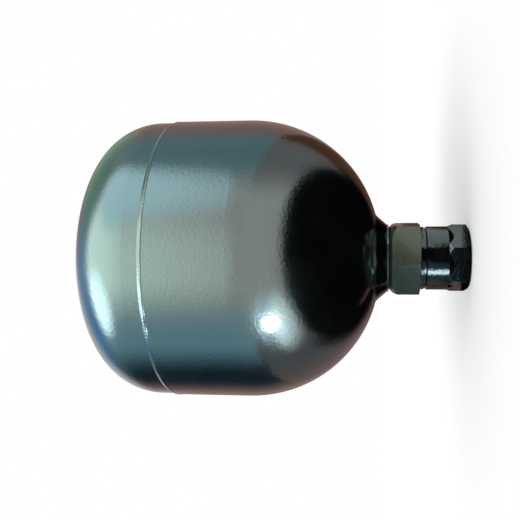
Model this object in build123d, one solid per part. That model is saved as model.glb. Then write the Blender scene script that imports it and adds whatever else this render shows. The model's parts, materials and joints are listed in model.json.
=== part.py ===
from build123d import *
import os
from math import acos, cos, pi, radians, sin, sqrt, tan

# Bladder accumulator, two-litre class.  A squat welded steel vessel holds a rubber bladder that hangs
# from a gas stem in the upper dome.  The fluid port is clamped in the neck of the lower dome, carries a
# spring-loaded poppet valve and ends in a hexagonal adapter.
# The vessel stands on its port: Z runs up its axis, and the origin is the centre of the port's end face.
# All lengths are in millimetres.  Threads are plain cylinders at their pitch radius.

# ---------------------------------------------------------------- vessel
shell_diameter = 168.0
shell_wall = 6.5
cylinder_length = 53.4            # straight wall between the tangent lines of the two domes
fluid_dome_radius = 76.8          # meridian arc of the dome at the fluid end
knuckle_radius = 37.0             # gas end: corner arc of the dished dome
crown_radius = 136.0              # gas end: flat middle of the dished dome
gas_end_step = 0.7                # how far the gas end's wall lies inside the fluid end's, all round
seam_below_gas_dome = 9.7         # middle of the girth weld, below the gas dome's tangent line
weld_width = 2.2
weld_crown = 0.5                  # how far the weld bead stands proud of the line between the walls
weld_root = 0.3                   # and how far its root stands proud inside

# ---------------------------------------------------------------- neck of the fluid end
neck_radius = 20.6
neck_bore_radius = 16.2
neck_straight = 1.0               # round part between the lock nut and the cone
neck_to_dome = 4.2                # from the cone's lower end up to where the dome's arc would close
neck_cone_angle = 49.0            # of the cone's side, from the horizontal
neck_fillet = 3.0                 # where the cone runs out into the dome
neck_seat_radius = 24.0           # flat inside the dome, under the anti-extrusion ring

# ---------------------------------------------------------------- port adapter
adapter_hex_flats = 36.0
adapter_hex_turn = 46.5           # direction of one corner, in degrees from +X
adapter_hex_length = 13.0
adapter_length = 26.2
adapter_body_radius = 19.2
adapter_rim_chamfer = 0.8
adapter_shoulder_angle = 57.0     # of the corners below the round body, from the end face's plane
adapter_run_out = 3.1             # how far the flats' middles slope out to the round body
adapter_land_bottom = 12.0        # the land between its two threads
adapter_land_thickness = 1.6
adapter_land_bore = 9.5
line_thread_radius = 12.64        # pitch radius of the G 3/4 thread that takes the hydraulic line
thread_mouth_chamfer = 1.2

# ---------------------------------------------------------------- port lock nut and seal ring
seal_ring_radius = 19.0
seal_ring_height = 2.0
seal_ring_step_radius = 18.2
seal_ring_step_height = 0.8
port_nut_flats = 41.0
port_nut_turn = 22.0
port_nut_height = 19.0
port_nut_lower_chamfer_angle = 12.0
port_nut_upper_chamfer_angle = 45.0
port_nut_upper_face_radius = 18.6

# ---------------------------------------------------------------- port body
port_thread_radius = 12.85        # pitch radius of the M27 x 2 thread on its outside
port_stem_radius = 13.4           # plain stem inside the neck
port_flange_radius = 16.0
port_flange_height = 4.0
flow_bore_radius = 9.5
valve_seat_width = 2.5            # radial width of the 45 degree seat
guide_hub_radius = 6.0
guide_hub_height = 7.0
guide_hub_drop = 30.0             # top of the guide below the top of the port body
guide_arm_width = 2.6
guide_arm_count = 3

# ---------------------------------------------------------------- seals in the neck, from the inside out
anti_extrusion_radius = 23.0
anti_extrusion_height = 5.0
port_washer_height = 2.0
port_o_ring_section = 2.7
port_backup_height = 1.5

# ---------------------------------------------------------------- poppet valve
poppet_travel = 8.0
poppet_stem_radius = 3.5
poppet_head_radius = 12.4
poppet_head_rim = 1.0
poppet_head_dome = 2.9
poppet_nose_radius = 8.0
poppet_nose_height = 1.2
poppet_bush_radius = 5.6
poppet_bush_height = 5.0
poppet_nut_flats = 12.0
poppet_nut_height = 4.5
poppet_tail = 1.5                 # stem left below the lock nut
spring_radius = 4.9               # middle of the wire
spring_wire_radius = 0.6
spring_turns = 7

# ---------------------------------------------------------------- bladder
bladder_wall = 3.0
bladder_side_gap = 1.2            # between the relaxed bladder and the gas end's side
bladder_dome_gap = 0.3            # under the gas end's dome
bladder_poppet_gap = 2.0          # above the open poppet
bladder_mouth_radius = 9.0

# ---------------------------------------------------------------- gas stem and its hardware
gas_pad_radius = 24.0             # flats on both faces of the dome's middle
stem_flange_radius = 18.0
stem_flange_height = 4.0
stem_radius = 11.0
stem_height = 15.7                # above the flange
stem_bore_radius = 3.0
stem_o_ring_radius = 14.4         # middle of the ring
stem_o_ring_section = 2.4
stem_washer_radius = 17.0
stem_washer_height = 1.0
stem_nut_flats = 32.0
stem_nut_turn = 10.0
stem_nut_height = 5.0
screw_thread_radius = 3.8
screw_shank_length = 7.0
screw_head_radius = 6.5
screw_head_height = 4.0
screw_socket_flats = 5.0
screw_socket_depth = 3.0
screw_seal_height = 1.0
screw_head_recess = 0.3           # top of the screw's head below the end of the stem
cap_radius = 13.5
cap_roof = 1.5
cap_chamfer = 0.8

# ---------------------------------------------------------------- shared clearances and edges
thread_gap = 0.05                 # radial, between mating threads
sliding_gap = 0.05                # radial, of the poppet's stem in its guide
slip_gap = 0.1                    # radial, of rings and stems in their bores
seat_gap = 0.15                   # between the closed poppet and its seat, along Z
stop_gap = 0.1                    # between the damping bush and the guide when the poppet is open
end_gap = 0.1                     # between stacked ends that don't bear on each other
hex_chamfer_angle = 30.0          # of the small nuts' corners, from the end face's plane
hex_chamfer_share = 0.95          # circle on a hexagon's end face, as a share of its flats
hex_corner_fillet = 0.4
hex_blank_margin = 1.0            # how far a hexagon's turned blank stands outside its corners

# ---------------------------------------------------------------- places along Z
seal_step_bottom = adapter_length
seal_ring_bottom = adapter_length + seal_ring_step_height
port_nut_bottom = seal_ring_bottom + seal_ring_height
neck_bottom = port_nut_bottom + port_nut_height

shell_radius = shell_diameter / 2
bore_radius = shell_radius - shell_wall
gas_end_radius = shell_radius - gas_end_step
gas_end_bore = gas_end_radius - shell_wall
fluid_dome_offset = shell_radius - fluid_dome_radius
neck_cone_bottom = neck_bottom + neck_straight
fluid_dome_z = neck_cone_bottom + neck_to_dome + fluid_dome_radius
gas_dome_z = fluid_dome_z + cylinder_length
seam_z = gas_dome_z - seam_below_gas_dome
seam_low = seam_z - weld_width / 2
seam_high = seam_z + weld_width / 2

knuckle_offset = gas_end_radius - knuckle_radius
crown_share = knuckle_offset / (crown_radius - knuckle_radius)
crown_z = gas_dome_z - (crown_radius - knuckle_radius) * sqrt(1 - crown_share**2)


# ---------------------------------------------------------------- helpers
def turned(*edges):
    """A solid of revolution about Z from a closed outline drawn as (radius, height)."""
    return revolve(Plane.XZ * make_face(Curve() + list(edges)), Axis.Z)


def turned_polygon(*points):
    """A solid of revolution whose outline is straight from point to point."""
    return turned(Polyline(*points, close=True))


def ring(inner, outer, bottom, top):
    """A flat ring of rectangular section."""
    return turned_polygon((inner, bottom), (outer, bottom), (outer, top), (inner, top))


def o_ring(radius, section, bottom):
    """A round-section ring that lies on the height bottom."""
    return Pos(0, 0, bottom + section / 2) * Torus(radius, section / 2)


def fluid_dome_height(radius, inset=0.0):
    """Height of the fluid dome at that radius, inset from its outer surface."""
    reach = fluid_dome_radius - inset
    return fluid_dome_z - sqrt(reach**2 - (radius - fluid_dome_offset) ** 2)


def crown_height(radius, inset=0.0):
    """Height of the gas dome's crown at that radius, inset from its outer surface."""
    return crown_z + sqrt((crown_radius - inset) ** 2 - radius**2)


def fluid_arc(radius, inset):
    """The fluid dome's meridian, from that radius out to the cylinder."""
    reach = fluid_dome_radius - inset
    turn = acos((radius - fluid_dome_offset) / reach)
    return ThreePointArc(
        (radius, fluid_dome_height(radius, inset)),
        (fluid_dome_offset + reach * cos(turn / 2), fluid_dome_z - reach * sin(turn / 2)),
        (fluid_dome_offset + reach, fluid_dome_z),
    )


def gas_arcs(radius, inset):
    """The gas dome's meridian: the knuckle up from the cylinder, then the crown in to that radius."""
    turn = acos(crown_share)
    reach = knuckle_radius - inset
    meet = (knuckle_offset + reach * cos(turn), gas_dome_z + reach * sin(turn))
    middle = (radius + meet[0]) / 2
    return [
        ThreePointArc(
            (knuckle_offset + reach, gas_dome_z),
            (knuckle_offset + reach * cos(turn / 2), gas_dome_z + reach * sin(turn / 2)),
            meet,
        ),
        ThreePointArc(meet, (middle, crown_height(middle, inset)), (radius, crown_height(radius, inset))),
    ]


def hexagon(
    flats, bottom, height, turn, low_angle=hex_chamfer_angle, high_angle=hex_chamfer_angle, high_face=None
):
    """A hexagonal prism with a corner in the direction turn, and its corners cut back at both ends."""
    corner = flats / sqrt(3)
    blank_radius = corner + hex_blank_margin
    face = flats / 2 * hex_chamfer_share
    high_face = high_face or face
    top = bottom + height
    low_end = bottom + (blank_radius - face) * tan(radians(low_angle))
    high_end = top - (blank_radius - high_face) * tan(radians(high_angle))
    prism = Pos(0, 0, bottom) * extrude(RegularPolygon(corner, 6, rotation=turn), height)
    prism = fillet(prism.edges().filter_by(Axis.Z), hex_corner_fillet)
    blank = turned_polygon(
        (0, bottom),
        (face, bottom),
        (blank_radius, low_end),
        (blank_radius, high_end),
        (high_face, top),
        (0, top),
    )
    return prism & blank


# ---------------------------------------------------------------- vessel pieces
neck_seat_z = fluid_dome_height(neck_seat_radius, shell_wall)
gas_pad_top = crown_height(gas_pad_radius)
gas_pad_bottom = crown_height(gas_pad_radius, shell_wall)


def neck_cone_meeting():
    """Where the neck's cone meets the fluid dome's outer surface, as (radius, height)."""
    rise = tan(radians(neck_cone_angle))
    drop = fluid_dome_z - neck_cone_bottom + neck_radius * rise
    square = 1 + rise**2
    half = fluid_dome_offset + rise * drop
    constant = fluid_dome_offset**2 + drop**2 - fluid_dome_radius**2
    radius = (half - sqrt(half**2 - square * constant)) / square
    return radius, fluid_dome_height(radius)


def make_fluid_end_shell():
    """The deep shell: cylinder, dome and forged neck, with a flat seat inside round the bore."""
    meet = neck_cone_meeting()
    wall = turned(
        Polyline(
            (neck_seat_radius, neck_seat_z),
            (neck_bore_radius, neck_seat_z),
            (neck_bore_radius, neck_bottom),
            (neck_radius, neck_bottom),
            (neck_radius, neck_cone_bottom),
            meet,
        ),
        fluid_arc(meet[0], 0),
        Polyline(
            (shell_radius, fluid_dome_z),
            (shell_radius, seam_low),
            (bore_radius, seam_low),
            (bore_radius, fluid_dome_z),
        ),
        fluid_arc(neck_seat_radius, shell_wall),
    )
    run_out = wall.edges().filter_by(GeomType.CIRCLE).sort_by(lambda e: abs(e.radius - meet[0]))[0]
    return fillet(run_out, neck_fillet)


def make_gas_end_cap():
    """The dished cap: a short cylinder, knuckle and crown, flat on both faces round the stem's hole."""
    hole = stem_radius + slip_gap
    return turned(
        *gas_arcs(gas_pad_radius, 0),
        Polyline(
            (gas_pad_radius, gas_pad_top),
            (hole, gas_pad_top),
            (hole, gas_pad_bottom),
            (gas_pad_radius, gas_pad_bottom),
        ),
        *gas_arcs(gas_pad_radius, shell_wall),
        Polyline(
            (gas_end_bore, gas_dome_z),
            (gas_end_bore, seam_high),
            (gas_end_radius, seam_high),
            (gas_end_radius, gas_dome_z),
        ),
    )


def make_girth_weld():
    """The weld ring from wall to wall between the two shells, crowned outside and at its root."""
    crown = (shell_radius + gas_end_radius) / 2 + weld_crown
    root = (bore_radius + gas_end_bore) / 2 - weld_root
    return turned(
        ThreePointArc((shell_radius, seam_low), (crown, seam_z), (gas_end_radius, seam_high)),
        Line((gas_end_radius, seam_high), (gas_end_bore, seam_high)),
        ThreePointArc((gas_end_bore, seam_high), (root, seam_z), (bore_radius, seam_low)),
        Line((bore_radius, seam_low), (shell_radius, seam_low)),
    )


# ---------------------------------------------------------------- port stack
anti_extrusion_top = neck_seat_z + anti_extrusion_height
port_body_top = anti_extrusion_top + port_flange_height
port_body_bottom = adapter_land_bottom + adapter_land_thickness
guide_top = port_body_top - guide_hub_drop
guide_bottom = guide_top - guide_hub_height
port_washer_bottom = neck_seat_z - port_washer_height
port_o_ring_bottom = port_washer_bottom - port_o_ring_section
port_backup_bottom = port_o_ring_bottom - port_backup_height


def make_port_adapter():
    """The visible end of the port: a hexagon, a round body, and a thread from either side."""
    hexagonal = hexagon(
        adapter_hex_flats,
        0,
        adapter_hex_length,
        adapter_hex_turn,
        high_angle=adapter_shoulder_angle,
        high_face=adapter_body_radius,
    )
    body = turned_polygon(
        (0, adapter_hex_length - adapter_run_out),
        (adapter_hex_flats / 2, adapter_hex_length - adapter_run_out),
        (adapter_body_radius, adapter_hex_length),
        (adapter_body_radius, adapter_length - adapter_rim_chamfer),
        (adapter_body_radius - adapter_rim_chamfer, adapter_length),
        (0, adapter_length),
    )
    upper_thread = port_thread_radius + thread_gap
    land_top = adapter_land_bottom + adapter_land_thickness
    passage = turned_polygon(
        (0, 0),
        (line_thread_radius + thread_mouth_chamfer, 0),
        (line_thread_radius, thread_mouth_chamfer),
        (line_thread_radius, adapter_land_bottom),
        (adapter_land_bore, adapter_land_bottom),
        (adapter_land_bore, land_top),
        (upper_thread, land_top),
        (upper_thread, adapter_length - thread_mouth_chamfer),
        (upper_thread + thread_mouth_chamfer, adapter_length),
        (0, adapter_length),
    )
    return hexagonal + body - passage


def make_port_seal_ring():
    """The collar between the adapter and the lock nut, with a narrow step at its lower face."""
    bore = port_thread_radius + slip_gap
    return turned_polygon(
        (bore, seal_step_bottom),
        (seal_ring_step_radius, seal_step_bottom),
        (seal_ring_step_radius, seal_ring_bottom),
        (seal_ring_radius, seal_ring_bottom),
        (seal_ring_radius, port_nut_bottom),
        (bore, port_nut_bottom),
    )


def make_port_lock_nut():
    """The hexagonal nut that pulls the port body down against the inside of the neck."""
    bore = port_thread_radius + thread_gap
    top = port_nut_bottom + port_nut_height
    passage = turned_polygon(
        (0, port_nut_bottom),
        (bore, port_nut_bottom),
        (bore, top - thread_mouth_chamfer),
        (bore + thread_mouth_chamfer, top),
        (0, top),
    )
    nut = hexagon(
        port_nut_flats,
        port_nut_bottom,
        port_nut_height,
        port_nut_turn,
        port_nut_lower_chamfer_angle,
        port_nut_upper_chamfer_angle,
        port_nut_upper_face_radius,
    )
    return nut - passage


def make_port_body():
    """The turned body: thread, plain stem, flange with the valve seat, and the poppet's guide inside."""
    thread_top = neck_bottom - thread_mouth_chamfer
    outside = turned_polygon(
        (0, port_body_bottom),
        (port_thread_radius, port_body_bottom),
        (port_thread_radius, thread_top),
        (port_stem_radius, thread_top + port_stem_radius - port_thread_radius),
        (port_stem_radius, anti_extrusion_top),
        (port_flange_radius, anti_extrusion_top),
        (port_flange_radius, port_body_top),
        (0, port_body_top),
    )
    flow = turned_polygon(
        (0, port_body_bottom),
        (flow_bore_radius, port_body_bottom),
        (flow_bore_radius, port_body_top - valve_seat_width),
        (flow_bore_radius + valve_seat_width, port_body_top),
        (0, port_body_top),
    )
    hub = ring(poppet_stem_radius + sliding_gap, guide_hub_radius, guide_bottom, guide_top)
    reach = (flow_bore_radius + port_thread_radius) / 2
    middle = (guide_hub_radius + poppet_stem_radius) / 2
    arm = Pos((middle + reach) / 2, 0, guide_bottom) * Box(
        reach - middle, guide_arm_width, guide_hub_height, align=(Align.CENTER, Align.CENTER, Align.MIN)
    )
    arms = [Rot(0, 0, 360 * i / guide_arm_count) * arm for i in range(guide_arm_count)]
    return outside - flow + hub + arms


def make_anti_extrusion_ring():
    """The rubber-faced ring that bridges the gap between the port's flange and the neck."""
    top = anti_extrusion_top
    slope = anti_extrusion_height / 2
    return turned_polygon(
        (port_stem_radius + slip_gap, neck_seat_z),
        (anti_extrusion_radius, neck_seat_z),
        (anti_extrusion_radius, top - slope),
        (anti_extrusion_radius - slope, top),
        (port_stem_radius + slip_gap, top),
    )


def neck_ring(bottom, top):
    """A ring that fills the space between the port body's stem and the neck's bore."""
    return ring(port_stem_radius + slip_gap, neck_bore_radius - slip_gap, bottom, top)


# ---------------------------------------------------------------- poppet valve, drawn open
def make_poppet():
    """The mushroom valve: a domed head with a 45 degree cone, and the stem that slides in the guide."""
    nose_bottom = port_body_top - poppet_seat_drop() + poppet_travel
    cone_bottom = nose_bottom + poppet_nose_height
    cone_top = cone_bottom + poppet_head_radius - poppet_nose_radius
    rim_top = cone_top + poppet_head_rim
    top = rim_top + poppet_head_dome
    dome_radius = (poppet_head_radius**2 + poppet_head_dome**2) / (2 * poppet_head_dome)
    bend = poppet_head_radius / 2
    bend_height = top - dome_radius + sqrt(dome_radius**2 - bend**2)
    stem_bottom = guide_bottom - stop_gap - poppet_bush_height - poppet_nut_height - poppet_tail
    return turned(
        Polyline(
            (0, top),
            (0, stem_bottom),
            (poppet_stem_radius, stem_bottom),
            (poppet_stem_radius, nose_bottom),
            (poppet_nose_radius, nose_bottom),
            (poppet_nose_radius, cone_bottom),
            (poppet_head_radius, cone_top),
            (poppet_head_radius, rim_top),
        ),
        ThreePointArc((poppet_head_radius, rim_top), (bend, bend_height), (0, top)),
    )


def poppet_seat_drop():
    """How far the closed poppet's underside lies below the top of the port body."""
    seat_foot = valve_seat_width + flow_bore_radius - poppet_nose_radius
    return seat_foot + poppet_nose_height - seat_gap


def make_poppet_spring():
    """The coil spring between the guide and the open poppet's head."""
    length = port_body_top - poppet_seat_drop() + poppet_travel - guide_top
    rise = length - 2 * spring_wire_radius
    path = Helix(rise / spring_turns, rise, spring_radius)
    coil = sweep(Plane(path @ 0, z_dir=path % 0) * Circle(spring_wire_radius), path=path)
    envelope = ring(spring_radius - 2 * spring_wire_radius, spring_radius + 2 * spring_wire_radius, 0, length)
    return Pos(0, 0, guide_top) * (Pos(0, 0, spring_wire_radius) * coil & envelope)


poppet_bush_top = guide_bottom - stop_gap
poppet_nut_top = poppet_bush_top - poppet_bush_height


def make_poppet_lock_nut():
    """The small nut that holds the damping bush on the poppet's stem."""
    bottom = poppet_nut_top - poppet_nut_height
    nut = hexagon(poppet_nut_flats, bottom, poppet_nut_height, 0)
    return nut - ring(0, poppet_stem_radius + thread_gap, bottom, poppet_nut_top)


# ---------------------------------------------------------------- bladder and gas stem
stem_flange_bottom = gas_pad_bottom - stem_flange_height
stem_top = gas_pad_bottom + stem_height
screw_head_top = stem_top - screw_head_recess
screw_head_bottom = screw_head_top - screw_head_height
screw_seal_bottom = screw_head_bottom - screw_seal_height
stem_nut_bottom = gas_pad_top + stem_washer_height
stem_nut_top = stem_nut_bottom + stem_nut_height
bladder_bottom = (
    port_body_top - poppet_seat_drop() + poppet_travel + poppet_nose_height
    + poppet_head_radius - poppet_nose_radius + poppet_head_rim + poppet_head_dome + bladder_poppet_gap
)


def bag_outline(side, dome_inset, bottom, mouth):
    """The bladder's meridian: round bottom, straight side, then the gas dome in to the mouth."""
    reach = gas_end_radius - side
    middle = bottom + reach
    return [
        ThreePointArc((0, bottom), (reach * sin(pi / 4), middle - reach * cos(pi / 4)), (reach, middle)),
        Line((reach, middle), (reach, gas_dome_z)),
        Line((reach, gas_dome_z), (gas_end_radius - dome_inset, gas_dome_z)),
        *gas_arcs(mouth, dome_inset),
    ]


def make_bladder():
    """The bag: a rubber wall with a round bottom, moulded onto the underside of the stem's flange."""
    outer_inset = shell_wall + bladder_dome_gap
    side = shell_wall + bladder_side_gap
    inner_inset = outer_inset + bladder_wall
    shoulder = crown_height(gas_pad_radius, outer_inset)
    outer = turned(
        *bag_outline(side, outer_inset, bladder_bottom, gas_pad_radius),
        Polyline(
            (gas_pad_radius, shoulder),
            (stem_flange_radius, shoulder),
            (stem_flange_radius, stem_flange_bottom),
            (0, stem_flange_bottom),
            (0, bladder_bottom),
        ),
    )
    inner = turned(
        *bag_outline(side + bladder_wall, inner_inset, bladder_bottom + bladder_wall, gas_pad_radius),
        Polyline(
            (gas_pad_radius, crown_height(gas_pad_radius, inner_inset)),
            (gas_pad_radius, stem_flange_bottom - bladder_wall),
            (bladder_mouth_radius, stem_flange_bottom - bladder_wall),
            (bladder_mouth_radius, stem_flange_bottom),
            (0, stem_flange_bottom),
            (0, bladder_bottom + bladder_wall),
        ),
    )
    return outer - inner


def make_gas_stem():
    """The stem moulded to the bladder: flange with an O-ring groove, threaded shank and gas bore."""
    pocket = screw_head_radius + slip_gap
    screw_thread = screw_thread_radius + thread_gap
    outside = turned_polygon(
        (0, stem_flange_bottom),
        (stem_flange_radius, stem_flange_bottom),
        (stem_flange_radius, gas_pad_bottom),
        (stem_radius, gas_pad_bottom),
        (stem_radius, stem_top),
        (0, stem_top),
    )
    bore = turned_polygon(
        (0, stem_flange_bottom),
        (stem_bore_radius, stem_flange_bottom),
        (stem_bore_radius, screw_head_bottom - screw_shank_length - end_gap),
        (screw_thread, screw_head_bottom - screw_shank_length - end_gap),
        (screw_thread, screw_seal_bottom),
        (pocket, screw_seal_bottom),
        (pocket, stem_top),
        (0, stem_top),
    )
    half = stem_o_ring_section / 2
    groove_bottom = gas_pad_bottom - stem_o_ring_section
    groove = ring(stem_o_ring_radius - half, stem_o_ring_radius + half, groove_bottom, gas_pad_bottom)
    return outside - bore - groove


def make_charging_screw():
    """The hexagon-socket screw that closes the gas bore."""
    head = ring(0, screw_head_radius, screw_head_bottom, screw_head_top)
    shank = ring(0, screw_thread_radius, screw_head_bottom - screw_shank_length, screw_head_bottom)
    corner = screw_socket_flats / sqrt(3)
    socket = Pos(0, 0, screw_head_top - screw_socket_depth) * extrude(
        RegularPolygon(corner, 6), screw_socket_depth
    )
    return head + shank - socket


def make_stem_lock_nut():
    """The low nut that clamps the stem to the outside of the dome."""
    nut = hexagon(stem_nut_flats, stem_nut_bottom, stem_nut_height, stem_nut_turn)
    return nut - ring(0, stem_radius + thread_gap, stem_nut_bottom, stem_nut_top)


def make_valve_cap():
    """The screwed cap over the end of the stem."""
    inner = stem_radius + thread_gap
    bottom = stem_nut_top + end_gap
    ceiling = stem_top + end_gap
    top = ceiling + cap_roof
    return turned_polygon(
        (inner, bottom),
        (cap_radius, bottom),
        (cap_radius, top - cap_chamfer),
        (cap_radius - cap_chamfer, top),
        (0, top),
        (0, ceiling),
        (inner, ceiling),
    )


# ---------------------------------------------------------------- the whole part
def make_parts():
    """Every piece by its node's name."""
    stem_hole = poppet_stem_radius + thread_gap
    o_ring_middle = (port_stem_radius + neck_bore_radius) / 2
    return {
        "fluid_end_shell": make_fluid_end_shell(),
        "gas_end_cap": make_gas_end_cap(),
        "girth_weld": make_girth_weld(),
        "port_adapter": make_port_adapter(),
        "port_seal_ring": make_port_seal_ring(),
        "port_lock_nut": make_port_lock_nut(),
        "port_body": make_port_body(),
        "anti_extrusion_ring": make_anti_extrusion_ring(),
        "port_washer": neck_ring(port_washer_bottom, neck_seat_z),
        "port_o_ring": o_ring(o_ring_middle, port_o_ring_section, port_o_ring_bottom),
        "port_backup_ring": neck_ring(port_backup_bottom, port_o_ring_bottom),
        "port_spacer": neck_ring(neck_bottom, port_backup_bottom),
        "poppet": make_poppet(),
        "poppet_spring": make_poppet_spring(),
        "poppet_damping_bush": ring(stem_hole, poppet_bush_radius, poppet_nut_top, poppet_bush_top),
        "poppet_lock_nut": make_poppet_lock_nut(),
        "bladder": make_bladder(),
        "gas_stem": make_gas_stem(),
        "stem_o_ring": o_ring(stem_o_ring_radius, stem_o_ring_section, gas_pad_bottom - stem_o_ring_section),
        "stem_washer": ring(stem_radius + slip_gap, stem_washer_radius, gas_pad_top, stem_nut_bottom),
        "stem_lock_nut": make_stem_lock_nut(),
        "charging_screw": make_charging_screw(),
        "charging_screw_seal": ring(
            screw_thread_radius + slip_gap, screw_head_radius, screw_seal_bottom, screw_head_bottom
        ),
        "valve_cap": make_valve_cap(),
    }


os.makedirs("parts", exist_ok=True)
for name, shape in make_parts().items():
    export_step(shape, f"parts/{name}.step")
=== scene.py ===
import json
from math import cos, pi, radians, sin

import bmesh
import bpy
from mathutils import Matrix, Vector


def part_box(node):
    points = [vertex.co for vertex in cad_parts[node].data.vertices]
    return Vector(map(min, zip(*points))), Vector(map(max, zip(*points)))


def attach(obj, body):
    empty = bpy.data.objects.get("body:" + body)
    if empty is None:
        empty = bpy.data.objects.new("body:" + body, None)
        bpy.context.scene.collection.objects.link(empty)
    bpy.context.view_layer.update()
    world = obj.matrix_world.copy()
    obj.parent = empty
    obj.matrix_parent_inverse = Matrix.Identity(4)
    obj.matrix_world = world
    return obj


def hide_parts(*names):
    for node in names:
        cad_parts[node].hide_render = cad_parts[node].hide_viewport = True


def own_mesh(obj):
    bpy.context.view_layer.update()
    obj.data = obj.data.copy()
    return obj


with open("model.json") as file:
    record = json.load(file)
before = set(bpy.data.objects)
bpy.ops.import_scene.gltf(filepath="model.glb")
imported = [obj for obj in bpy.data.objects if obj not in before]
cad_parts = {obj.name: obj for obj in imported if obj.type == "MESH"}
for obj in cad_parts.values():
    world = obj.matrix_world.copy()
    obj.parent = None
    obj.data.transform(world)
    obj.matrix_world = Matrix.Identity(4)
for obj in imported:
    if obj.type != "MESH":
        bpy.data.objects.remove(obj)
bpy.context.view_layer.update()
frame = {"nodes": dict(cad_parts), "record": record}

# Looks for a bladder accumulator that stands on its fluid port.  Lengths are in metres and follow the
# frame: Z runs up the vessel's axis, and the camera looks along +Y with its own up along +X.  In names,
# left is -X and right is +X, as someone upright at the camera's side sees them.

MM = 0.001

# ---------------------------------------------------------------- camera
CAMERA_DISTANCE = 0.394           # from the vessel's axis
CAMERA_HEIGHT = 0.0549
CAMERA_YAW = radians(5.38)        # towards the gas end
CAMERA_LENS = 44.3
CAMERA_SENSOR = 36.0
CAMERA_SHIFT = (-0.109, -0.0038)
CAMERA_CLIP = 0.01

# ---------------------------------------------------------------- lamps, world and floor
WORLD_LIGHT = 0.75                # what the world gives the part
TOP_LAMP_LIGHT = 0.25             # and what the lamp over it adds to a face that looks up at it
TOP_LAMP_PLACE = (-0.35, -0.75, 1.1)
TOP_LAMP_SPREAD = 40              # degrees across
FLOOR_RADIUS = 6.0
FLOOR_SIDES = 96
FLOOR_COLOUR = 0.8
FLOOR_LIFT = 0.30                 # brings the floor up to white where nothing shades it

# ---------------------------------------------------------------- what the gloss mirrors
# The world and the floor are white.  Soft-edged cards round the part give its gloss something to show
# besides: they are seen in reflections only, so they neither light the part nor shade the floor.
BLACK = (0.001, 0.001, 0.003)

# Round cards far from the part: direction (degrees round from the camera's side towards +X, degrees up),
# the angle that each fills, the angle at which it has faded out, and its colour, where 1 is white and more
# stands for a window or a lamp.  Later ones stand nearer.
CARD_CENTRE = (0.0, 0.0, 0.12)
CARD_DISTANCE = 1.6
CARD_SPACING = 0.06
CARD_RINGS = 6
CARD_SPOKES = 32
CARDS = (
    ("overhead", -5, 60, 8, 59, (2.3, 2.9, 2.75)),
    ("right_haze", 92, 8, 10, 45, (0.36, 0.56, 0.66)),
    ("left_haze", -100, 8, 30, 80, (0.40, 0.76, 0.96)),
    ("window", -56, 60, 6, 23, (3.7, 4.9, 5.3)),
    ("left_sky", -126, 60, 4, 28, (0.15, 0.42, 0.86)),
    ("sky_behind", 172, 68, 4, 34, (0.26, 0.52, 0.90)),
    ("right_sky", 116, 56, 3, 34, (0.26, 0.48, 0.42)),
    ("right_window", 52, 35, 10, 30, (1.45, 2.10, 2.40)),
    ("left_side", -116, 8, 14, 48, (0.01, 0.03, 0.05)),
    ("right_side", 106, 6, 5, 40, (0.24, 0.45, 0.53)),
    ("wall_behind", 172, 5, 42, 76, (0.33, 0.21, 0.19)),
    ("left_back", -155, 42, 6, 28, (0.55, 0.60, 0.66)),
    ("right_green", 132, 47, 6, 24, (0.26, 0.46, 0.34)),
)

# The painted floor reflection, seen only in the gloss: black round the port, warm behind, grey at its
# sides.
FLOOR_REFLECTION_HEIGHT = 0.0004
FLOOR_REFLECTION_SIZE = 3.6
FLOOR_REFLECTION_CENTRE = (0.018, -0.058, 0.0)
FLOOR_REFLECTION_DARK_RADIUS = 0.145         # black up to here
FLOOR_REFLECTION_EDGE_RADIUS = 0.215         # and gone from here on towards the front
FLOOR_REFLECTION_BEHIND = 0.5                # sine of the angle behind the sides from which it is full
FLOOR_REFLECTION_MAUVE_X = -0.15             # mauve up to here, and warm from the middle on
FLOOR_REFLECTION_WARM = (0.11, 0.055, 0.03)
FLOOR_REFLECTION_MAUVE = (0.24, 0.18, 0.18)
FLOOR_REFLECTION_SIDE = (0.20, 0.22, 0.25)
# Each side: its direction, how far from it the painted reflection is gone and how far it is full, and its
# strength.
FLOOR_REFLECTION_SIDES = (
    (-106, 66, 16, 1.0),
    (100, 60, 10, 0.85),
)

# Painted pools of light on the floor at the front left, seen in the gloss only: middle, half lengths and
# colour.
GLOW_TURN = 38                    # degrees
GLOW_CORE = 0.1                   # the share of a patch's radius that is full
GLOWS = (
    ("wide_glow", (-0.500, -0.440), (0.50, 0.28), (1.5, 2.4, 3.2)),
    ("near_glow", (-0.235, -0.195), (0.15, 0.17), (3.4, 4.0, 4.4)),
)
# The small lamp over the nearer one.
LOW_LAMP_PLACE = (-0.222, -0.205, 0.032)
LOW_LAMP_RADIUS = 0.032
LOW_LAMP_BRIGHTNESS = (12.0, 13.0, 13.5)

# Low cards round the port, which lean in and show on their undersides only, so that the port mirrors them
# and the dome hardly does: two ends on the floor, the height, how far each leans in, how much of its
# length fades out at each end, and the colour it glows with.  left_strip's, brighter than white, is a
# painted lamp that the port mirrors as a highlight.
FLAGS = (
    ("front_flag", (-0.070, -0.150), (0.100, -0.150), 0.050, 0.060, 0.02, BLACK),
    ("low_flag", (0.100, -0.150), (0.280, -0.040), 0.008, 0.015, 0.02, BLACK),
    ("right_flag", (0.043, -0.048), (0.043, 0.012), 0.027, 0.017, 0.36, (0.62, 0.74, 0.74)),
    ("left_strip", (-0.052, -0.066), (-0.067, -0.046), 0.024, 0.018, 0.35, (5.0, 6.6, 7.4)),
    ("left_flag", (-0.106, -0.022), (-0.034, -0.118), 0.050, 0.050, 0.15, (0.09, 0.15, 0.20)),
    ("back_flag", (-0.058, 0.008), (-0.024, 0.038), 0.027, 0.020, 0.20, (0.16, 0.10, 0.09)),
)

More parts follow.
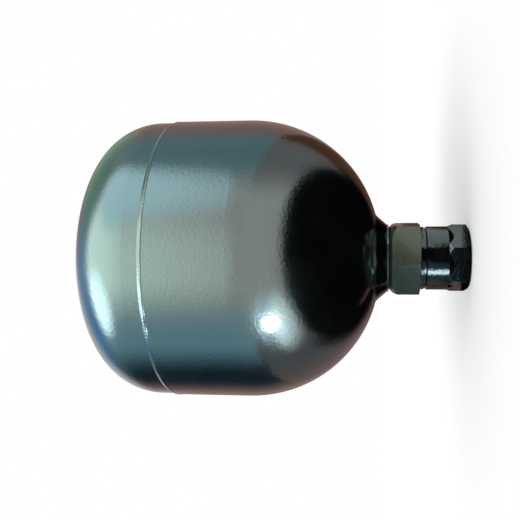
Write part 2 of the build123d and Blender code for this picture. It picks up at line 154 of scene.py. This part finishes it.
# ---------------------------------------------------------------- girth weld and poppet spring
WELD_STEPS_ROUND = 1440
WELD_STEPS_ACROSS = 16
WELD_SPREAD = 1.25                # its width, as a share of the smooth ring's
WELD_RIDGE = -0.4                 # where its ridge runs, from -1 at the fluid end to 1 at the gas end
# How the ridge wanders and the bead swells on its way round: height, number and phase of each wave.
WELD_WANDER = ((0.10, 47, 0), (0.08, 29, 2))
WELD_SWELL = ((0.12, 5, 0), (0.08, 13, 1))
WELD_BULGE = 0.3                  # how far its flanks bow out
WELD_ROOT = 0.05 * MM             # how far its edges lie below the walls
WELD_RIPPLES = 260
WELD_RIPPLE_DEPTH = 0.07 * MM
WELD_RIPPLE_LAG = 2.0             # radians by which a ripple trails at the bead's edges

SPRING_TURNS = 7
SPRING_WIRE_RADIUS = 0.6 * MM
SPRING_STEPS = 36                 # to a turn
SPRING_SIDES = 16

# ---------------------------------------------------------------- finishes
PAINT_DARK = (0.001, 0.001, 0.001)
PAINT_DUSTY = (0.003, 0.003, 0.003)
PAINT_ROUGHNESS = (0.16, 0.24)    # where dark and where dusty
PAINT_IOR = 2.2
PAINT_TINT = (0.80, 1.0, 0.90)
PAINT_COAT_IOR = 1.7
PAINT_COAT_ROUGHNESS = 0.06
PAINT_PEEL = 0.06 * MM            # depth of its orange peel
PAINT_WAVES = 0.03 * MM           # and of the slower waves
SATIN_IOR = 2.0
SATIN_COAT_WEIGHT = 0.6
SATIN_COAT_ROUGHNESS = 0.12
SATIN_MARKS = 0.006 * MM          # depth of the marks under a satin coat
TURNED_MARKS = 0.004 * MM         # and of the rings on turned metal
TURNED_SHADE = 0.75               # how dark turned metal is where it is darkest


# ---------------------------------------------------------------- node helpers
class Tree:
    """A short way to build a shader's nodes."""

    def __init__(self, tree):
        self.tree = tree
        tree.nodes.clear()

    def add(self, kind, inputs=None, **settings):
        """A new node with those inputs and settings."""
        node = self.tree.nodes.new(kind)
        for name, value in settings.items():
            setattr(node, name, value)
        for name, value in (inputs or {}).items():
            self.set(node, name, value)
        return node

    def set(self, node, name, value):
        """Links a socket into an input, or sets the input to a value."""
        socket = node.inputs[name]
        if isinstance(value, bpy.types.NodeSocket):
            self.tree.links.new(value, socket)
        elif isinstance(value, tuple) and socket.type == "RGBA":
            socket.default_value = (*value, 1.0)
        else:
            socket.default_value = value

    def output(self, kind, surface):
        """Links a shader to a new output node."""
        output = self.add(kind)
        self.tree.links.new(surface, output.inputs["Surface"])

    def math(self, operation, a, b):
        """A number from two others."""
        return self.add("ShaderNodeMath", {0: a, 1: b}, operation=operation).outputs[0]

    def vector(self, operation, a, b=(0.0, 0.0, 0.0)):
        """A vector operation's vector."""
        return self.add("ShaderNodeVectorMath", {0: a, 1: b}, operation=operation).outputs["Vector"]

    def measure(self, operation, a, b=(0.0, 0.0, 0.0)):
        """A vector operation's number."""
        return self.add("ShaderNodeVectorMath", {0: a, 1: b}, operation=operation).outputs["Value"]

    def ramp(self, value, low, high, to_low=0.0, to_high=1.0):
        """value mapped smoothly from low..high to to_low..to_high."""
        inputs = {"Value": value, "From Min": low, "From Max": high, "To Min": to_low, "To Max": to_high}
        return self.add("ShaderNodeMapRange", inputs, interpolation_type="SMOOTHSTEP").outputs["Result"]

    def mix(self, factor, a, b):
        """Colour a where factor is 0, and b where it is 1; a Mix node's colour sockets go by number."""
        node = self.add("ShaderNodeMix", data_type="RGBA")
        self.set(node, 0, factor)
        self.set(node, 6, a)
        self.set(node, 7, b)
        return node.outputs[2]

    def noise(self, position, scale, detail, roughness=0.5):
        """Soft noise from about 0.3 to 0.7, with scale cells to the metre."""
        inputs = {"Vector": position, "Scale": scale, "Detail": detail, "Roughness": roughness}
        return self.add("ShaderNodeTexNoise", inputs).outputs["Fac"]

    def bump(self, height, depth, normal=None):
        """A normal that is bumped by height times depth, on top of another where one is given."""
        inputs = {"Height": height, "Distance": depth, "Strength": 1.0}
        if normal is not None:
            inputs["Normal"] = normal
        return self.add("ShaderNodeBump", inputs).outputs["Normal"]


def new_tree(name):
    """A material with an empty tree."""
    material = bpy.data.materials.new(name)
    material.use_nodes = True
    return material, Tree(material.node_tree)


def new_material(name):
    """A material with its object-space position and a Principled shader on its output."""
    material, t = new_tree(name)
    shader = t.add("ShaderNodeBsdfPrincipled")
    t.output("ShaderNodeOutputMaterial", shader.outputs[0])
    position = t.add("ShaderNodeTexCoord").outputs["Object"]
    return material, t, shader, position


# ---------------------------------------------------------------- materials
def shell_paint():
    """Glossy black enamel over steel: orange peel, a slow waviness and a dusty film."""
    material, t, shader, position = new_material("shell_paint")
    film = t.noise(position, 45.0, 4.0, 0.6)
    t.set(shader, "Base Color", t.mix(t.ramp(film, 0.35, 0.75), PAINT_DARK, PAINT_DUSTY))
    t.set(shader, "Roughness", t.ramp(film, 0.3, 0.8, *PAINT_ROUGHNESS))
    t.set(shader, "IOR", PAINT_IOR)
    t.set(shader, "Specular Tint", PAINT_TINT)
    t.set(shader, "Coat Weight", 1.0)
    t.set(shader, "Coat Roughness", PAINT_COAT_ROUGHNESS)
    t.set(shader, "Coat IOR", PAINT_COAT_IOR)
    peel = t.bump(t.noise(position, 560.0, 1.0), PAINT_PEEL)
    waves = t.bump(t.noise(position, 60.0, 1.0), PAINT_WAVES, peel)
    t.set(shader, "Normal", waves)
    t.set(shader, "Coat Normal", waves)
    return material


def satin_black(name, low, high, tint, roughness, peel_depth):
    """Black coat on machined steel: patchy, with an uneven skin over faint marks."""
    material, t, shader, position = new_material(name)
    film = t.noise(position, 160.0, 4.0, 0.6)
    t.set(shader, "Base Color", t.mix(t.ramp(film, 0.35, 0.7), low, high))
    t.set(shader, "Roughness", t.ramp(film, 0.3, 0.8, roughness, roughness + 0.08))
    t.set(shader, "IOR", SATIN_IOR)
    t.set(shader, "Specular Tint", tint)
    t.set(shader, "Coat Weight", SATIN_COAT_WEIGHT)
    t.set(shader, "Coat Roughness", SATIN_COAT_ROUGHNESS)
    stretched = t.vector("MULTIPLY", position, (1.0, 1.0, 8.0))
    marks = t.bump(t.noise(stretched, 350.0, 2.0), SATIN_MARKS)
    peel = t.bump(t.noise(position, 600.0, 2.0), peel_depth, marks)
    t.set(shader, "Normal", peel)
    t.set(shader, "Coat Normal", peel)
    return material


def turned_metal(name, base, roughness):
    """Machined or plated metal with fine rings about the axis."""
    material, t, shader, position = new_material(name)
    stretched = t.vector("MULTIPLY", position, (0.2, 0.2, 10.0))
    lines = t.noise(stretched, 400.0, 3.0)
    tone = t.noise(position, 90.0, 3.0)
    dark = tuple(TURNED_SHADE * channel for channel in base)
    t.set(shader, "Base Color", t.mix(t.ramp(tone, 0.3, 0.7), dark, base))
    t.set(shader, "Metallic", 1.0)
    t.set(shader, "Roughness", t.ramp(lines, 0.3, 0.7, roughness, roughness + 0.1))
    t.set(shader, "Normal", t.bump(lines, TURNED_MARKS))
    return material


def moulded(name, low, high, roughness, grain_depth):
    """Rubber or plain plastic with a fine moulded grain."""
    material, t, shader, position = new_material(name)
    tone = t.noise(position, 120.0, 4.0, 0.6)
    t.set(shader, "Base Color", t.mix(t.ramp(tone, 0.3, 0.7), low, high))
    t.set(shader, "Roughness", t.ramp(tone, 0.3, 0.7, roughness, roughness + 0.1))
    t.set(shader, "Normal", t.bump(t.noise(position, 900.0, 3.0), grain_depth))
    return material


# Satin blacks: darkest and palest colour, tint of the gloss, roughness and depth of the uneven skin.
SATIN_BLACKS = {
    "nut_finish": ((0.022, 0.028, 0.020), (0.034, 0.042, 0.032), (0.85, 1.0, 0.72), 0.22, 0.004 * MM),
    "adapter_finish": ((0.001, 0.002, 0.002), (0.004, 0.005, 0.006), (0.88, 1.0, 0.94), 0.11, 0.12 * MM),
    "cap_finish": ((0.012, 0.014, 0.015), (0.025, 0.028, 0.028), (1.0, 1.0, 1.0), 0.3, 0.006 * MM),
}
# Turned metals: colour and roughness.
TURNED_METALS = {
    "machined_steel": ((0.50, 0.50, 0.49), 0.26),
    "zinc_steel": ((0.62, 0.62, 0.60), 0.3),
    "screw_steel": ((0.10, 0.10, 0.11), 0.35),
    "spring_steel": ((0.45, 0.45, 0.46), 0.25),
    "bush_brass": ((0.74, 0.56, 0.27), 0.25),
}
# Rubbers and plastic: darkest and palest colour, roughness and depth of the grain.
MOULDINGS = {
    "seal_rubber": ((0.012, 0.012, 0.012), (0.025, 0.025, 0.026), 0.55, 0.02 * MM),
    "bladder_rubber": ((0.018, 0.018, 0.018), (0.032, 0.032, 0.033), 0.6, 0.02 * MM),
    "backup_plastic": ((0.78, 0.77, 0.73), (0.86, 0.85, 0.81), 0.45, 0.004 * MM),
}


def make_materials():
    """One finish for each of the record's material slots."""
    finishes = {"shell_paint": shell_paint()}
    for make, table in ((satin_black, SATIN_BLACKS), (turned_metal, TURNED_METALS), (moulded, MOULDINGS)):
        for name, values in table.items():
            finishes[name] = make(name, *values)
    return finishes


def paint_nodes(materials):
    """Every CAD node gets the finish of its slot; the weld's is the shell's paint."""
    for part in frame["record"]["subparts"]:
        slot = part["material_slot"]
        data = frame["nodes"][part["node"]].data
        data.materials.clear()
        data.materials.append(materials["shell_paint" if slot == "weld_paint" else slot])


# ---------------------------------------------------------------- mesh helpers
def join_rows(mesh, first, second, closed=False):
    """Smooth faces between two rows of points."""
    count = len(first)
    for j in range(count if closed else count - 1):
        k = (j + 1) % count
        mesh.faces.new((first[j], second[j], second[k], first[k])).smooth = True


def new_object(name, mesh):
    """A new object from a bmesh."""
    data = bpy.data.meshes.new(name)
    mesh.to_mesh(data)
    mesh.free()
    thing = bpy.data.objects.new(name, data)
    bpy.context.scene.collection.objects.link(thing)
    return thing


def add_piece(name, mesh, material):
    """A new piece from a bmesh, riding on the vessel."""
    piece = new_object(name, mesh)
    piece.data.materials.append(material)
    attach(piece, "vessel")
    return piece


# ---------------------------------------------------------------- girth weld with its ripples
def waver(turn, waves):
    """The sum of some waves round the weld: height, number and phase of each."""
    return sum(height * sin(number * turn + phase) for height, number, phase in waves)


def make_weld_bead(material):
    """The girth weld as a rippled bead, in place of the smooth ring: it runs down onto the gas end."""
    ring_low, ring_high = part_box("girth_weld")
    shell_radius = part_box("fluid_end_shell")[1].x
    cap_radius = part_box("gas_end_cap")[1].x
    seam = (ring_low.z + ring_high.z) / 2
    half = WELD_SPREAD * (ring_high.z - ring_low.z) / 2
    step = shell_radius - cap_radius
    crown = ring_high.x - shell_radius + step / 2
    largest = 1 + sum(height for height, number, phase in WELD_SWELL)
    mesh = bmesh.new()
    rows = []
    for i in range(WELD_STEPS_ROUND):
        turn = 2 * pi * i / WELD_STEPS_ROUND
        ridge = WELD_RIDGE + waver(turn, WELD_WANDER)
        size = (1 + waver(turn, WELD_SWELL)) / largest
        row = []
        for j in range(WELD_STEPS_ACROSS + 1):
            across = 2 * j / WELD_STEPS_ACROSS - 1
            slope = min((1 - across) / (1 - ridge), (1 + across) / (1 + ridge))
            arch = slope * (1 + WELD_BULGE - WELD_BULGE * slope)
            ripple = 0.5 + 0.5 * cos(WELD_RIPPLES * turn - WELD_RIPPLE_LAG * across**2)
            height = arch * (crown * size - WELD_RIPPLE_DEPTH * ripple)
            wall = shell_radius - step * (1 + across) / 2
            radius = wall + height - WELD_ROOT * (1 - arch)
            row.append(mesh.verts.new((radius * cos(turn), radius * sin(turn), seam + across * half)))
        rows.append(row)
    for i, row in enumerate(rows):
        join_rows(mesh, row, rows[(i + 1) % WELD_STEPS_ROUND])
    bead = add_piece("girth_weld_bead", mesh, material)
    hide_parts("girth_weld")


# ---------------------------------------------------------------- poppet spring
def make_spring(material):
    """The poppet's spring as a mesh of its own."""
    low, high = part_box("poppet_spring")
    radius = high.x - SPRING_WIRE_RADIUS
    rise = high.z - low.z - 2 * SPRING_WIRE_RADIUS
    lead = rise / (SPRING_TURNS * 2 * pi * radius)
    mesh = bmesh.new()
    rings = []
    for i in range(SPRING_TURNS * SPRING_STEPS + 1):
        turn = 2 * pi * i / SPRING_STEPS
        outward = Vector((cos(turn), sin(turn), 0))
        upward = outward.cross(Vector((-sin(turn), cos(turn), lead)).normalized())
        centre = outward * radius + Vector((0, 0, low.z + SPRING_WIRE_RADIUS + lead * radius * turn))
        ring = []
        for j in range(SPRING_SIDES):
            around = 2 * pi * j / SPRING_SIDES
            side = outward * cos(around) + upward * sin(around)
            ring.append(mesh.verts.new(centre + side * SPRING_WIRE_RADIUS))
        rings.append(ring)
    for first, second in zip(rings, rings[1:]):
        join_rows(mesh, first, second, closed=True)
    mesh.faces.new(rings[0])
    mesh.faces.new(rings[-1])
    bmesh.ops.recalc_face_normals(mesh, faces=mesh.faces)
    spring = add_piece("poppet_coil", mesh, material)
    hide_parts("poppet_spring")
    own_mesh(spring)


# ---------------------------------------------------------------- world and floor
def background_seen(t):
    """1 where the camera sees the background, directly, in a gloss or through glass, else 0."""
    path = t.add("ShaderNodeLightPath").outputs
    direct = t.math("MAXIMUM", path["Is Camera Ray"], path["Is Glossy Ray"])
    return t.math("MAXIMUM", direct, path["Is Transmission Ray"])


def make_world():
    """A white background, and an even light on the part."""
    world = bpy.data.worlds.new("studio")
    world.use_nodes = True
    bpy.context.scene.world = world
    t = Tree(world.node_tree)
    strength = t.ramp(background_seen(t), 0.0, 1.0, WORLD_LIGHT, 1.0)
    white = t.add("ShaderNodeBackground", {"Color": (1.0, 1.0, 1.0), "Strength": strength})
    t.output("ShaderNodeOutputWorld", white.outputs[0])


def make_floor():
    """A white floor that keeps the part's shadow, and is clear from below."""
    bpy.ops.mesh.primitive_circle_add(vertices=FLOOR_SIDES, radius=FLOOR_RADIUS, fill_type="NGON")
    floor = bpy.context.object
    floor.name = "floor"
    material, t = new_tree("floor")
    pale = t.add("ShaderNodeBsdfDiffuse", {"Color": (FLOOR_COLOUR,) * 3}).outputs[0]
    lift = t.ramp(background_seen(t), 0.0, 1.0, 0.0, FLOOR_LIFT)
    glow = t.add("ShaderNodeEmission", {"Color": (1.0, 1.0, 1.0), "Strength": lift}).outputs[0]
    both = t.add("ShaderNodeAddShader", {0: pale, 1: glow}).outputs[0]
    below = t.add("ShaderNodeNewGeometry").outputs["Backfacing"]
    clear = t.add("ShaderNodeBsdfTransparent").outputs[0]
    surface = t.add("ShaderNodeMixShader", {0: below, 1: both, 2: clear}).outputs[0]
    t.output("ShaderNodeOutputMaterial", surface)
    floor.data.materials.append(material)


# ---------------------------------------------------------------- cards
def card_material(name):
    """An empty material for a card: its tree, and its object-space position."""
    material, t = new_tree(name)
    return material, t, t.add("ShaderNodeTexCoord").outputs["Object"]


def finish_card(card, material, t, colour, share):
    """Gives a card its colour where share is 1, leaves it clear where share is 0, and hides it from all
    but the gloss."""
    glow = t.add("ShaderNodeEmission", {"Color": colour, "Strength": 1.0}).outputs[0]
    clear = t.add("ShaderNodeBsdfTransparent").outputs[0]
    surface = t.add("ShaderNodeMixShader", {0: share, 1: clear, 2: glow}).outputs[0]
    t.output("ShaderNodeOutputMaterial", surface)
    card.data.materials.append(material)
    card.visible_camera = False
    card.visible_diffuse = False
    card.visible_transmission = False
    card.visible_shadow = False


def direction(azimuth, elevation=0):
    """A unit vector: azimuth 0 is the camera's side, 90 is +X."""
    a, e = radians(azimuth), radians(elevation)
    return Vector((sin(a) * cos(e), -cos(a) * cos(e), sin(e)))


def make_card(name, azimuth, elevation, full, faded, colour, distance):
    """A round card, curved about the part, in that direction."""
    axis = direction(azimuth, elevation)
    side = axis.orthogonal().normalized()
    other = axis.cross(side)
    mesh = bmesh.new()
    middle = mesh.verts.new(axis * distance)
    rings = []
    for i in range(1, CARD_RINGS + 1):
        lean = radians(faded) * i / CARD_RINGS
        ring = []
        for j in range(CARD_SPOKES):
            turn = 2 * pi * j / CARD_SPOKES
            outward = side * cos(turn) + other * sin(turn)
            ring.append(mesh.verts.new((axis * cos(lean) + outward * sin(lean)) * distance))
        rings.append(ring)
    for j in range(CARD_SPOKES):
        mesh.faces.new((middle, rings[0][j], rings[0][(j + 1) % CARD_SPOKES]))
    for inner, outer in zip(rings, rings[1:]):
        join_rows(mesh, inner, outer, closed=True)
    card = new_object(name, mesh)
    card.location = CARD_CENTRE
    material, t, position = card_material(name)
    near = t.measure("DOT_PRODUCT", t.vector("NORMALIZE", position), tuple(axis))
    share = t.ramp(near, cos(radians(faded)), cos(radians(full)))
    finish_card(card, material, t, colour, share)


def flat_card(name, corners):
    """A card with those corners."""
    mesh = bmesh.new()
    mesh.faces.new([mesh.verts.new(corner) for corner in corners])
    return new_object(name, mesh)


def square_card(name, half):
    """A level square card about its middle."""
    return flat_card(name, [(-half, -half, 0), (half, -half, 0), (half, half, 0), (-half, half, 0)])


def make_painted_floor_reflection():
    """The painted floor reflection, a card that only the gloss shows."""
    painted_floor_reflection = square_card("painted_floor_reflection", FLOOR_REFLECTION_SIZE / 2)
    painted_floor_reflection.location = (0, 0, FLOOR_REFLECTION_HEIGHT)
    material, t, position = card_material("painted_floor_reflection")
    distance = t.measure("LENGTH", t.vector("SUBTRACT", position, FLOOR_REFLECTION_CENTRE))
    dark = t.ramp(distance, FLOOR_REFLECTION_DARK_RADIUS, FLOOR_REFLECTION_EDGE_RADIUS, 1.0, 0.0)
    outward = t.vector("NORMALIZE", position)
    behind = t.ramp(t.measure("DOT_PRODUCT", outward, (0.0, 1.0, 0.0)), 0.0, FLOOR_REFLECTION_BEHIND)
    share = t.math("MAXIMUM", dark, behind)
    for azimuth, gone, full, strength in FLOOR_REFLECTION_SIDES:
        near = t.measure("DOT_PRODUCT", outward, tuple(direction(azimuth)))
        beside = t.ramp(near, cos(radians(gone)), cos(radians(full)), 0.0, strength)
        share = t.math("MAXIMUM", share, beside)
    across = t.add("ShaderNodeSeparateXYZ", {0: position}).outputs["X"]
    warm = t.mix(t.ramp(across, FLOOR_REFLECTION_MAUVE_X, 0.0), FLOOR_REFLECTION_MAUVE, FLOOR_REFLECTION_WARM)
    colour = t.mix(dark, t.mix(behind, FLOOR_REFLECTION_SIDE, warm), BLACK)
    finish_card(painted_floor_reflection, material, t, colour, share)


def make_glow(name, place, size, colour, height):
    """A painted pool of light just over the floor, seen only in the gloss."""
    glow = square_card(name, 1)
    glow.location = (*place, height)
    glow.rotation_euler = (0, 0, radians(GLOW_TURN))
    glow.scale = (*size, 1)
    material, t, position = card_material(name)
    share = t.ramp(t.measure("LENGTH", position), GLOW_CORE, 1.0, 1.0, 0.0)
    finish_card(glow, material, t, colour, share)


def make_flag(name, start, end, height, lean, fade, colour):
    """A low card that leans in and shows its underside in the port's gloss."""
    start, end = Vector((*start, 0)), Vector((*end, 0))
    length = (end - start).length
    along = (end - start).normalized()
    inward = Vector((-along.y, along.x, 0)) * lean
    if inward.dot(start) > 0:
        inward.negate()
    top = inward + Vector((0, 0, height))
    flag = flat_card(name, [start, end, end + top, start + top])
    faces_out = flag.data.polygons[0].normal.dot(start) > 0
    material, t, position = card_material(name)
    back = t.add("ShaderNodeNewGeometry").outputs["Backfacing"]
    under = back if faces_out else t.math("SUBTRACT", 1.0, back)
    from_start = t.vector("SUBTRACT", position, tuple(start))
    place = t.measure("DOT_PRODUCT", from_start, tuple(along))
    rise = t.ramp(place, 0.0, fade * length)
    fall = t.ramp(place, (1 - fade) * length, length, 1.0, 0.0)
    share = t.math("MULTIPLY", under, t.math("MULTIPLY", rise, fall))
    finish_card(flag, material, t, colour, share)


# ---------------------------------------------------------------- lamps and camera
def make_top_lamp():
    """A soft light over the camera's shoulder, which gives the floor its shadow."""
    data = bpy.data.lights.new("top_lamp", "SUN")
    data.angle = radians(TOP_LAMP_SPREAD)
    data.energy = TOP_LAMP_LIGHT * pi
    lamp = bpy.data.objects.new("top_lamp", data)
    lamp.rotation_euler = (-Vector(TOP_LAMP_PLACE)).to_track_quat("-Z", "Y").to_euler()
    lamp.visible_glossy = False
    bpy.context.scene.collection.objects.link(lamp)


def make_low_lamp():
    """A round lamp low before the port, which shows in the gloss only."""
    data = bpy.data.lights.new("low_lamp", "POINT")
    data.shadow_soft_size = LOW_LAMP_RADIUS
    strongest = max(LOW_LAMP_BRIGHTNESS)
    data.color = [channel / strongest for channel in LOW_LAMP_BRIGHTNESS]
    data.energy = strongest * 4 * pi**2 * LOW_LAMP_RADIUS**2
    lamp = bpy.data.objects.new("low_lamp", data)
    lamp.location = LOW_LAMP_PLACE
    lamp.visible_camera = False
    lamp.visible_diffuse = False
    bpy.context.scene.collection.objects.link(lamp)


def make_camera():
    """The camera, turned on its side so that the upright vessel lies level in the picture."""
    data = bpy.data.cameras.new("camera")
    data.lens = CAMERA_LENS
    data.sensor_width = CAMERA_SENSOR
    data.shift_x, data.shift_y = CAMERA_SHIFT
    data.clip_start = CAMERA_CLIP
    camera = bpy.data.objects.new("camera", data)
    right = Vector((0, sin(CAMERA_YAW), -cos(CAMERA_YAW)))
    up = Vector((1, 0, 0))
    turn = Matrix((right, up, right.cross(up))).transposed()
    camera.matrix_world = Matrix.Translation((0, -CAMERA_DISTANCE, CAMERA_HEIGHT)) @ turn.to_4x4()
    bpy.context.scene.collection.objects.link(camera)
    bpy.context.scene.camera = camera


# ---------------------------------------------------------------- everything together
materials = make_materials()
paint_nodes(materials)
make_weld_bead(materials["shell_paint"])
make_spring(materials["spring_steel"])
make_world()
make_floor()
for step, card in enumerate(CARDS):
    make_card(*card, CARD_DISTANCE - CARD_SPACING * step)
make_painted_floor_reflection()
for step, glow in enumerate(GLOWS, 2):
    make_glow(*glow, step * FLOOR_REFLECTION_HEIGHT)
for flag in FLAGS:
    make_flag(*flag)
make_top_lamp()
make_low_lamp()
make_camera()
bpy.context.scene.view_settings.view_transform = "Standard"
